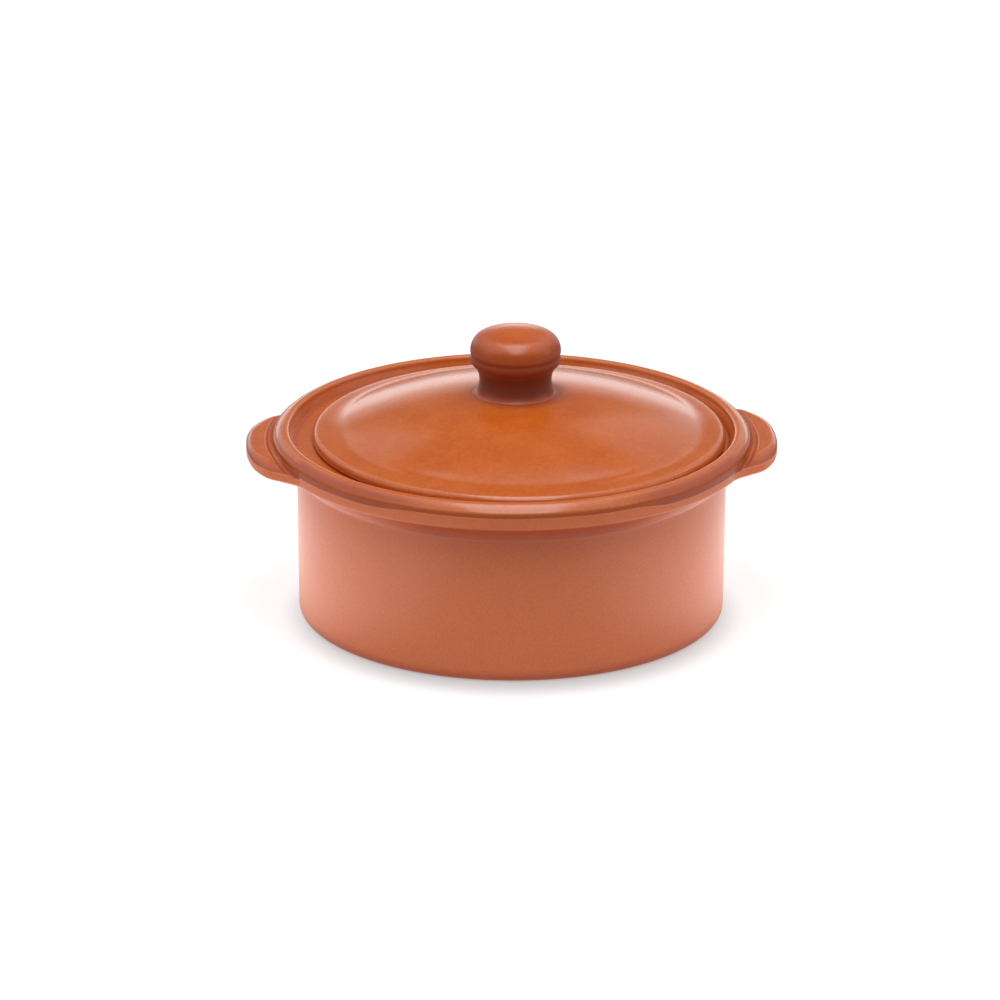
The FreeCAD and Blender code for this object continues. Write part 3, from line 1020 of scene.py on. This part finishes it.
@dataclass
class Lid(TurnedPiece):
    """The lid: flat flange, crease, low dome and the ring that drops into the mouth."""

    edge_radius: float = 97.7
    ring_radius: float = 87.5
    crown_height: float = 25.1
    crown_radius: float = 20.6
    edge_thickness: float = 5.4
    edge_round: float = 3.4
    seat_round: float = 1.4
    flange_width: float = 10.9
    flange_rise: float = 0.8
    dome_bend: float = 230.0
    crown_thickness: float = 6.0
    hollow_spring: float = 1.5
    ring_depth: float = 4.5
    ring_width: float = 5.0
    ring_round: float = 1.2
    # The dome runs on under the knob's foot
    hidden_width: float = 5.0
    hidden_rise: float = 0.45
    # The crease between flange and dome is wiped to a soft hollow this far on both sides
    crease_width: float = 5.0
    # Brown glaze stands about the knob's foot, from just below the crown's edge
    foot_brown: float = 0.9
    foot_brown_below: float = 0.4
    foot_brown_above: float = 0.1
    softness: float = 0.8
    pooling: float = 0.5

    def crease(self) -> tuple[np.ndarray, np.ndarray, float]:
        """The soft crease between flange and dome.

        The dome is an arc from the crease to the crown. The hollow turns by the difference of
        the two slopes over its chord, so its radius is half the chord over the sine of half
        that turn.

        Returns:
            The hollow's end on the flange, its end on the dome, and its radius.
        """
        start = np.array([self.edge_radius - self.flange_width, self.edge_thickness + self.flange_rise])
        crown = np.array([self.crown_radius, self.crown_height])
        centre = arc_centre(start, crown, self.dome_bend, 1)
        along = math.atan2(*(start - centre)[::-1]) + self.crease_width / self.dome_bend
        on_dome = centre + self.dome_bend * np.array([math.cos(along), math.sin(along)])
        slope = self.flange_rise / (self.flange_width - self.edge_round)
        on_flange = start + self.crease_width * np.array([1.0, -slope])
        turned = along - QUARTER - math.atan(slope)
        reach = float(np.hypot(*(on_dome - on_flange)))
        return on_flange, on_dome, reach / 2.0 / math.sin(abs(turned) / 2.0)

    def run_down_and_shade(self, height: np.ndarray, angle: np.ndarray, inside: np.ndarray) -> np.ndarray:
        """Brown glaze that ran off the knob and stands on the crown about its foot."""
        low, high = self.crown_height - self.foot_brown_below, self.crown_height + self.foot_brown_above
        return self.foot_brown * smooth(low, high, height)

    def section(self) -> list[Corner]:
        """The lid's section.

        Returns:
            Its corners, from the top of the hollow, round the ring and the flange, to the crown.
        """
        on_flange, on_dome, hollow = self.crease()
        inside = self.ring_radius - self.ring_width
        foot, turn = -self.ring_depth, self.ring_round
        edge, thick = self.edge_radius, self.edge_thickness
        return [
            Corner(0.0, self.crown_height - self.crown_thickness),
            Corner(inside, self.hollow_spring, Arc.CAP, -1),
            Corner(inside, foot + turn),
            Corner(inside + turn, foot, turn, 1),
            Corner(self.ring_radius - turn, foot),
            Corner(self.ring_radius, foot + turn, turn, 1),
            Corner(self.ring_radius, 0.0),
            Corner(edge - self.seat_round, 0.0),
            Corner(edge, self.seat_round, self.seat_round, 1),
            Corner(edge, thick - self.edge_round),
            Corner(edge - self.edge_round, thick, self.edge_round, 1),
            Corner(*on_flange),
            Corner(*on_dome, hollow, -1),
            Corner(self.crown_radius, self.crown_height, self.dome_bend, 1),
            Corner(self.crown_radius - self.hidden_width, self.crown_height + self.hidden_rise),
            Corner(0.0, self.crown_height + self.hidden_rise),
        ]


@dataclass
class Knob(TurnedPiece):
    """The turned knob: foot, neck, lip, groove, rounded head and low top."""

    foot_radius: float = 18.8
    head_radius: float = 21.3
    total_height: float = 31.3
    # The skirt of slip round the foot runs out along the dome, and its tail is sunk in the dome
    skirt_width: float = 1.0
    skirt_height: float = 0.35
    skirt_bend: float = 3.0
    skirt_sink: float = 0.1
    tail_width: float = 1.2
    tail_sink: float = 0.35
    root_depth: float = 1.2
    # The neck draws in from the foot and flares out to the lip
    neck_inset: float = 1.7
    neck_low: float = 5.6
    neck_high: float = 14.0
    neck_bend: float = 11.0
    # The lip and the head, with a shallow groove between them
    lip_height: float = 16.3
    lip_round: float = 2.8
    groove_inset: float = 0.6
    groove_height: float = 18.7
    head_low: float = 21.5
    head_low_round: float = 3.6
    shoulder_inset: float = 7.0
    shoulder_drop: float = 1.6
    shoulder_round: float = 8.6
    softness: float = 0.75
    # Brown glaze has run down from above the groove to the foot, deepest in the waist, and is
    # darkened further there as painted shade under the head
    collar_brown_and_shade: float = 1.25
    collar_top: float = 20.0
    collar_fade: float = 0.8
    waist_brown_and_shade: float = 0.42
    waist_low: float = 0.3
    waist_full: float = 4.2
    waist_fade_start: float = 11.0
    waist_fade_end: float = 13.5
    foot_thin: float = 0.2
    # The head is a little brown all round, with painted shade on its left and right sides, fading
    # out on its top
    side_painted_shade: float = 0.7
    side_power: int = 4
    side_fade_start: float = 3.2
    side_fade_end: float = 1.2
    head_brown: float = 0.5
    head_fade_start: float = 1.3
    head_fade_end: float = 0.2

    def above_collar(self, height: np.ndarray) -> np.ndarray:
        """Rise from 0 on the collar to 1 on the head."""
        return smooth(self.collar_top - self.collar_fade, self.collar_top + self.collar_fade, height)

    def pooled_and_shaded(self, height: np.ndarray, bend: np.ndarray) -> np.ndarray:
        """The glaze that ran down off the head and stands in the waist, darkened further as painted shade
        under the head.

        Args:
            height: height above the knob's foot, in millimetres.
            bend: how sharply the section turns there.

        Returns:
            How much glaze has run together, with the painted shade.
        """
        # Brown glaze with painted shade below the head
        collar = self.collar_brown_and_shade * (1.0 - self.above_collar(height))
        risen = smooth(self.waist_low, self.waist_full, height)
        faded = smooth(self.waist_fade_start, self.waist_fade_end, height)
        return collar * (1.0 - self.foot_thin * (1.0 - risen)) + self.waist_brown_and_shade * risen * (1.0 - faded)

    def run_down_and_shade(self, height: np.ndarray, angle: np.ndarray, inside: np.ndarray) -> np.ndarray:
        """Browner glaze round the head, with painted shade on its left and right sides, fading out on the
        top.

        Args:
            height: height above the knob's foot, in millimetres.
            angle: turn about the axis from +X, in radians.
            inside: whether the row is past the highest one.

        Returns:
            How much more glaze has run together, with the painted shade.
        """
        top = self.total_height
        side = 1.0 - smooth(top - self.side_fade_start, top - self.side_fade_end, height)
        head = 1.0 - smooth(top - self.head_fade_start, top - self.head_fade_end, height)
        # Painted shade on the head's left and right sides
        sides = self.side_painted_shade * np.cos(angle) ** self.side_power * side
        return self.above_collar(height) * (sides + self.head_brown * head)

    def section(self) -> list[Corner]:
        """The knob's section.

        Returns:
            Its corners, from the middle of the foot, up the outside, to the middle of the top.
        """
        head, foot, top = self.head_radius, self.foot_radius, self.total_height
        skirt = foot + self.skirt_width
        tail = skirt + self.tail_width
        return [
            Corner(0.0, -self.root_depth),
            Corner(tail, -self.root_depth),
            Corner(tail, -self.skirt_sink - self.tail_sink),
            Corner(skirt, -self.skirt_sink),
            Corner(foot, self.skirt_height, self.skirt_bend, -1),
            Corner(foot - self.neck_inset, self.neck_low, self.neck_bend, -1),
            Corner(head - self.neck_inset, self.neck_high, self.neck_bend, -1),
            Corner(head, self.lip_height, self.lip_round, 1),
            Corner(head - self.groove_inset, self.groove_height, self.lip_round, 1),
            Corner(head, self.head_low, self.head_low_round, 1),
            Corner(head - self.shoulder_inset, top - self.shoulder_drop, self.shoulder_round, 1),
            Corner(0.0, top, Arc.CAP, 1),
        ]


@dataclass(frozen=True)
class Paper:
    """Matt white paper without gloss that glows by itself, as a sheet lit from below does."""

    name: str
    white: str
    roughness: float = 0.9

    def glow(self, tree: bpy.types.NodeTree, place: bpy.types.NodeSocket) -> bpy.types.NodeSocket:
        """How brightly each place of the paper glows, as a socket of its node tree."""
        raise NotImplementedError

    def material(self) -> bpy.types.Material:
        """The paper, which glows by the place on the floor in metres.

        Returns:
            The material.
        """
        made = bpy.data.materials.new(self.name)
        made.use_nodes = True
        tree = made.node_tree
        inputs = tree.nodes["Principled BSDF"].inputs
        inputs["Emission Color"].default_value = linear(WHITE)
        inputs["Base Color"].default_value = linear(self.white)
        inputs["Roughness"].default_value = self.roughness
        inputs["Specular IOR Level"].default_value = 0.0
        place = add(tree, "ShaderNodeTexCoord").outputs["Object"]
        tree.links.new(self.glow(tree, place), inputs["Emission Strength"])
        return made


@dataclass(frozen=True)
class LitSheet(Paper):
    """The sheet that the view sees. Besides the pot's own shadow, its glow holds a painted shadow round the
    pot, a little towards the front.
    """

    name: str = "matt_white_lit_sheet"
    white: str = "#959595"
    shade_centre_y: float = -0.012
    shade_start: float = 0.088
    shade_end: float = 0.114
    glow_shaded: float = 0.41
    glow_near: float = 0.8
    glow_far: float = 1.0
    glow_far_start: float = 0.2
    glow_far_end: float = 0.8

    def glow(self, tree: bpy.types.NodeTree, place: bpy.types.NodeSocket) -> bpy.types.NodeSocket:
        """A painted shadow: less glow under the pot, and more in the distance.

        Args:
            tree: the paper's node tree.
            place: the place on the floor.

        Returns:
            How brightly it glows.
        """
        shifted = add(tree, "ShaderNodeVectorMath", {
            0: place, 1: (0.0, -self.shade_centre_y, 0.0),
        }, operation="ADD").outputs["Vector"]
        away = add(tree, "ShaderNodeVectorMath", {0: shifted}, operation="LENGTH").outputs["Value"]
        near = add(tree, "ShaderNodeMapRange", {
            "Value": away, "From Min": self.shade_start, "From Max": self.shade_end,
            "To Min": self.glow_shaded, "To Max": self.glow_near,
        }, interpolation_type="SMOOTHSTEP").outputs["Result"]
        far = add(tree, "ShaderNodeMapRange", {
            "Value": away, "From Min": self.glow_far_start, "From Max": self.glow_far_end,
            "To Min": 0.0, "To Max": self.glow_far - self.glow_near,
        }, interpolation_type="SMOOTHSTEP").outputs["Result"]
        return add(tree, "ShaderNodeMath", {0: near, 1: far}, operation="ADD").outputs[0]


@dataclass(frozen=True)
class BounceSheet(Paper):
    """The floor that the pot sees: pale, with light cards at the pot's sides and behind it."""

    name: str = "matt_white_bounce"
    white: str = "#BCBCBC"
    card_front: float = 0.42
    card_round: float = 1.55
    card_side_start: float = 0.085
    card_side_end: float = 0.14
    card_back_start: float = 0.0
    card_back_end: float = 0.08
    card_out_start: float = 0.18
    card_out_end: float = 0.34

    def glow(self, tree: bpy.types.NodeTree, place: bpy.types.NodeSocket) -> bpy.types.NodeSocket:
        """Most round the pot's sides and back, a little in front, and none further out.

        Args:
            tree: the paper's node tree.
            place: the place on the floor.

        Returns:
            How brightly it glows.
        """
        along = add(tree, "ShaderNodeSeparateXYZ", {0: place}).outputs
        off = add(tree, "ShaderNodeMath", {0: along["X"]}, operation="ABSOLUTE").outputs[0]
        side = add(tree, "ShaderNodeMapRange", {
            "Value": off, "From Min": self.card_side_start, "From Max": self.card_side_end,
        }, interpolation_type="SMOOTHSTEP").outputs["Result"]
        back = add(tree, "ShaderNodeMapRange", {
            "Value": along["Y"], "From Min": self.card_back_start, "From Max": self.card_back_end,
        }, interpolation_type="SMOOTHSTEP").outputs["Result"]
        share = add(tree, "ShaderNodeMath", {0: side, 1: back}, operation="MAXIMUM").outputs[0]
        card = add(tree, "ShaderNodeMapRange", {
            "Value": share, "To Min": self.card_front, "To Max": self.card_round,
        }).outputs["Result"]
        away = add(tree, "ShaderNodeVectorMath", {0: place}, operation="LENGTH").outputs["Value"]
        near = add(tree, "ShaderNodeMapRange", {
            "Value": away, "From Min": self.card_out_start, "From Max": self.card_out_end,
            "To Min": 1.0, "To Max": 0.0,
        }, interpolation_type="SMOOTHSTEP").outputs["Result"]
        return add(tree, "ShaderNodeMath", {0: card, 1: near}, operation="MULTIPLY").outputs[0]


@dataclass(frozen=True)
class Softbox:
    """A rectangular studio light that looks at the pot.

    Its angles are in degrees and its sizes in metres. brightness is how bright its face looks,
    where 1 is a white sheet that just reads as white.
    """

    name: str
    azimuth: float
    elevation: float
    distance: float
    width: float
    height: float
    brightness: float

    def build(self, aim: Vector) -> None:
        """Place the light on its own bearing from the aim, facing it.

        An even face of area A that looks L bright gives off pi times L times A.

        Args:
            aim: the point that it looks at.
        """
        back = bearing(self.azimuth, self.elevation)
        lamp = bpy.data.lights.new(self.name, "AREA")
        lamp.shape = "RECTANGLE"
        lamp.size, lamp.size_y = self.width, self.height
        lamp.energy = math.pi * self.brightness * self.width * self.height
        made = bpy.data.objects.new(self.name, lamp)
        made.location = aim + back * self.distance
        made.rotation_mode = "QUATERNION"
        made.rotation_quaternion = (-back).to_track_quat("-Z", "Y")
        made.visible_camera = False
        bpy.context.scene.collection.objects.link(made)


@dataclass
class Studio:
    """Plain pale floor, soft lights and the camera at the photograph's view, in metres."""

    camera_distance: float = 3.0
    camera_elevation: float = 19.92
    camera_azimuth: float = -3.2
    camera_roll: float = 0.0038
    camera_lens: float = 227.8
    camera_sensor: float = 36.0
    camera_near: float = 0.05
    camera_far: float = 50.0
    aim_right: float = -0.00546
    aim_height: float = 0.05331
    lights_aim: float = 0.06
    sky: float = 0.2
    floor_half: float = 6.0
    bounce_drop: float = 0.0002
    # Azimuth, elevation, distance, width, height and brightness of each light
    boxes: tuple[Softbox, ...] = field(default_factory=lambda: (
        Softbox("overhead", 0.0, 73.0, 0.684, 0.34, 0.74, 3.8),
        Softbox("top_back", 180.0, 80.0, 1.3, 1.2, 0.8, 0.6),
        Softbox("high_left", -92.0, 56.0, 1.5, 1.8, 1.2, 0.9),
        Softbox("high_right", 92.0, 56.0, 1.5, 1.8, 1.2, 0.85),
        Softbox("back_left", -140.0, 30.0, 1.6, 1.2, 0.9, 0.6),
        Softbox("back_right", 140.0, 30.0, 1.6, 1.2, 0.9, 0.55),
        Softbox("side_left", -88.0, 20.0, 1.6, 0.9, 0.8, 0.6),
        Softbox("side_right", 88.0, 20.0, 1.6, 0.9, 0.8, 0.6),
        Softbox("backdrop", 180.0, 4.0, 2.2, 3.4, 0.42, 1.4),
        Softbox("backdrop_top", 180.0, 12.5, 2.2, 3.0, 0.3, 0.45),
    ))

    def place_camera(self) -> None:
        """Aim the camera as fitted to the photograph's outline."""
        back = bearing(self.camera_azimuth, self.camera_elevation)
        turn, roll = math.radians(self.camera_azimuth), self.camera_roll
        right = Vector((math.cos(turn), math.sin(turn), 0.0))
        up = back.cross(right)
        turned_right = right * math.cos(roll) + up * math.sin(roll)
        turned_up = up * math.cos(roll) - right * math.sin(roll)
        aim = right * self.aim_right + Vector((0.0, 0.0, self.aim_height))
        lens = bpy.data.cameras.new("view")
        lens.sensor_width = self.camera_sensor
        lens.lens = self.camera_lens
        lens.clip_start, lens.clip_end = self.camera_near, self.camera_far
        made = bpy.data.objects.new("view", lens)
        facing = Matrix((turned_right, turned_up, back)).transposed().to_4x4()
        made.matrix_world = Matrix.Translation(aim + back * self.camera_distance) @ facing
        bpy.context.scene.collection.objects.link(made)
        bpy.context.scene.camera = made

    def lay_floor(self) -> None:
        """A wide white sheet that the view sees, and under it the floor that lights the pot."""
        half = self.floor_half
        corners = np.array([(-half, -half, 0.0), (half, -half, 0.0), (half, half, 0.0), (-half, half, 0.0)])
        for name, drop, paper in (("floor", 0.0, LitSheet()),
                                  ("floor_bounce", self.bounce_drop, BounceSheet())):
            mesh = bpy.data.meshes.new(name)
            mesh.from_pydata((corners - (0.0, 0.0, drop)).tolist(), [], [(0, 1, 2, 3)])
            mesh.materials.append(paper.material())
            made = bpy.data.objects.new(name, mesh)
            seen = name == "floor"
            made.visible_camera = seen
            made.visible_diffuse = not seen
            made.visible_glossy = not seen
            made.visible_shadow = not seen
            bpy.context.scene.collection.objects.link(made)

    def build(self) -> None:
        """Floor, sky, lights and camera."""
        scene = bpy.context.scene
        scene.view_settings.view_transform = "Standard"
        world = bpy.data.worlds.new("studio")
        world.use_nodes = True
        sky = world.node_tree.nodes["Background"]
        sky.inputs["Color"].default_value = linear(WHITE)
        sky.inputs["Strength"].default_value = self.sky
        scene.world = world
        self.lay_floor()
        aim = Vector((0.0, 0.0, self.lights_aim))
        for box in self.boxes:
            box.build(aim)
        self.place_camera()


def main() -> None:
    """Build the pot, its lugs, the lid and the knob, then the studio."""
    logging.basicConfig(level=logging.INFO, format="%(name)s: %(message)s")
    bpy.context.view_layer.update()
    _, pot_high = box_mm("pot_body")
    lug_low, lug_high = box_mm("right_handle")
    lid_low, lid_high = box_mm("lid")
    knob_low, knob_high = box_mm("lid_knob")

    pot = PotBody("pot_turned", 0.0, 0.0, rim_radius=pot_high[0], crest_height=pot_high[2])
    pot.dress(GlazedEarthenware("red_earthenware_half_glazed"), "pot", "pot_body", "pot_clay")
    for side in Side:
        lug = LugHandle(side, pot.rim_radius, pot.crest_height, lug_high[0], lug_low[2], lug_high[2])
        finish = GlazedEarthenware("red_earthenware_lug_glaze_" + side.name.lower())
        lug.dress(finish, "pot", lug.name, "handle_clay")

    ledge = pot.crest_height - pot.gallery_depth
    lid = Lid("lid_turned", (lid_low[0] + lid_high[0]) / 2.0, ledge,
              edge_radius=(lid_high[0] - lid_low[0]) / 2.0, crown_height=lid_high[2] - ledge,
              ring_depth=ledge - lid_low[2])
    lid.dress(GlazedEarthenware("honey_glazed_lid"), "cover", "lid", "lid_glaze")
    knob = Knob("knob_turned", (knob_low[0] + knob_high[0]) / 2.0, knob_low[2],
                head_radius=(knob_high[0] - knob_low[0]) / 2.0, total_height=knob_high[2] - knob_low[2],
                around=160, longest_step=1.0, out_of_round=0.0)
    knob.dress(GlazedEarthenware("honey_glazed_knob"), "cover", "lid_knob", "knob_glaze")

    Studio().build()


if __name__ == "__main__":
    main()
